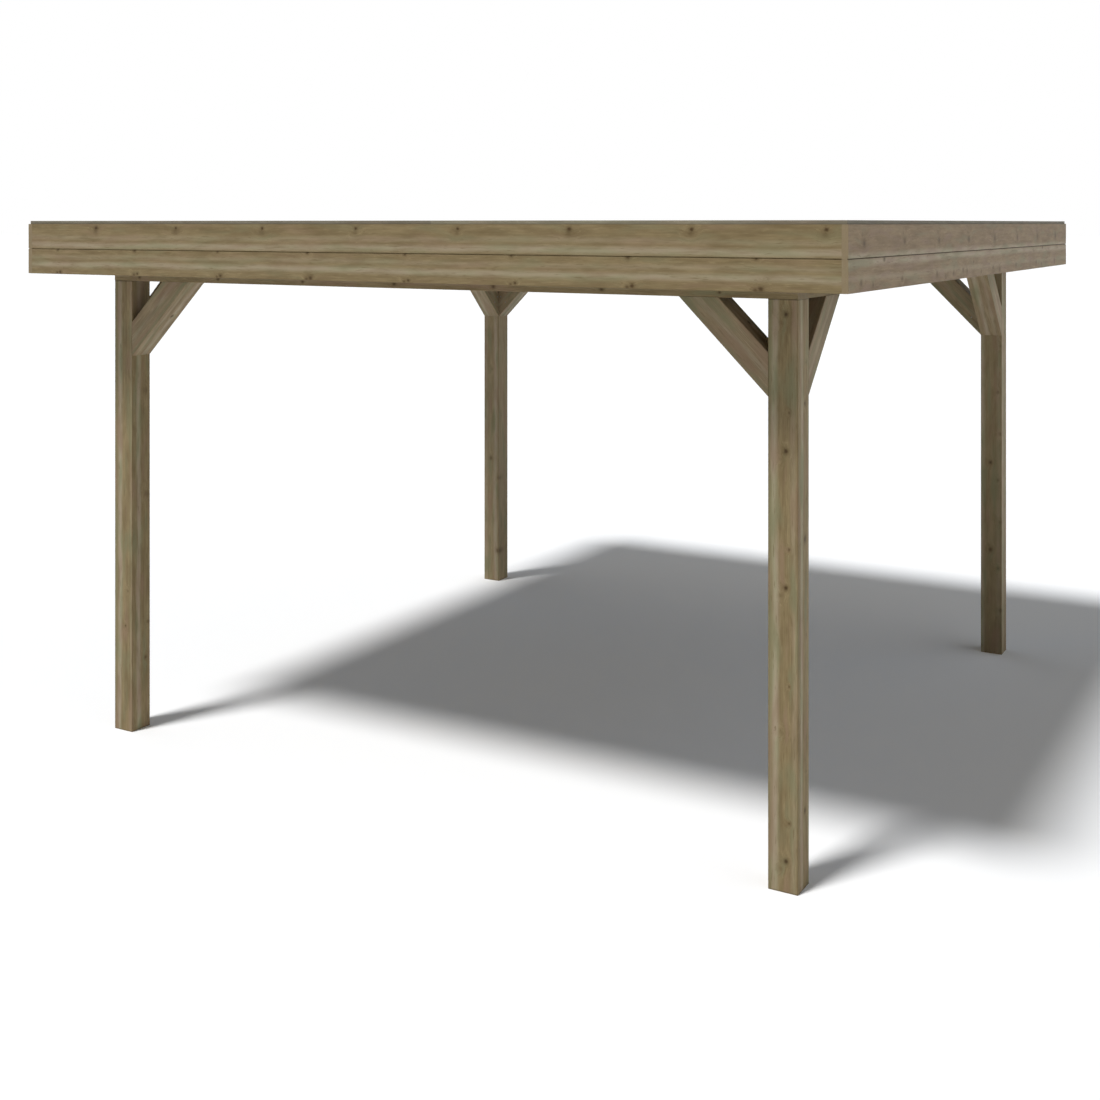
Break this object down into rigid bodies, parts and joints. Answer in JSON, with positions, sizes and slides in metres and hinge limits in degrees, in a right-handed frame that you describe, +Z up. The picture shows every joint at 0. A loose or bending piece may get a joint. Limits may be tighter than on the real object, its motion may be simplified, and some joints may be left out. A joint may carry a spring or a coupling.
{
  "type": "flat-roofed garden pergola",
  "caption": "Open-sided timber garden canopy: square corner posts with knee braces, a ring beam, and a flat roof behind a boarded fascia with a mitred cap.",
  "frame": {"origin": "ground level, under the middle of the roof", "axes": "+X along the longer side to the right, -Y to the front, +Z up"},
  "size_m": [4.161, 4.141, 2.538],
  "materials": {
    "planed_pine": "planed, green pressure-treated pine, weathering to olive brown",
    "roof_timber": "sawn pressure-treated pine",
    "fascia_pine": "planed tongue-and-groove pine boards, olive brown with knots",
    "cap_pine": "planed pine, weathered darker and greyer",
    "roof_boards": "planed roof boards with V joints",
    "roof_rubber": "matt black roofing sheet",
    "screw_steel": "bright zinc-plated countersunk screws"
  },
  "bodies": {
    "root": {"post_front_left": "planed_pine", "post_front_right": "planed_pine", "post_back_left": "planed_pine", "post_back_right": "planed_pine", "brace_front_left": "planed_pine", "brace_front_right": "planed_pine", "brace_back_left": "planed_pine", "brace_back_right": "planed_pine", "brace_left_front": "planed_pine", "brace_left_back": "planed_pine", "brace_right_front": "planed_pine", "brace_right_back": "planed_pine", "beam_front": "planed_pine", "beam_back": "planed_pine", "beam_left": "planed_pine", "beam_right": "planed_pine", "rafter_1": "roof_timber", "rafter_2": "roof_timber", "rafter_3": "roof_timber", "rafter_4": "roof_timber", "rafter_5": "roof_timber", "lookouts_left": "roof_timber", "lookouts_right": "roof_timber", "rim_front": "roof_timber", "rim_back": "roof_timber", "rim_left": "roof_timber", "rim_right": "roof_timber", "roof_deck": "roof_boards", "roof_sheet": "roof_rubber", "fascia_lower_front": "fascia_pine", "fascia_lower_back": "fascia_pine", "fascia_lower_left": "fascia_pine", "fascia_lower_right": "fascia_pine", "fascia_upper_front": "fascia_pine", "fascia_upper_back": "fascia_pine", "fascia_upper_left": "fascia_pine", "fascia_upper_right": "fascia_pine", "cap_front": "cap_pine", "cap_back": "cap_pine", "cap_left": "cap_pine", "cap_right": "cap_pine"}
  },
  "joints": []
}
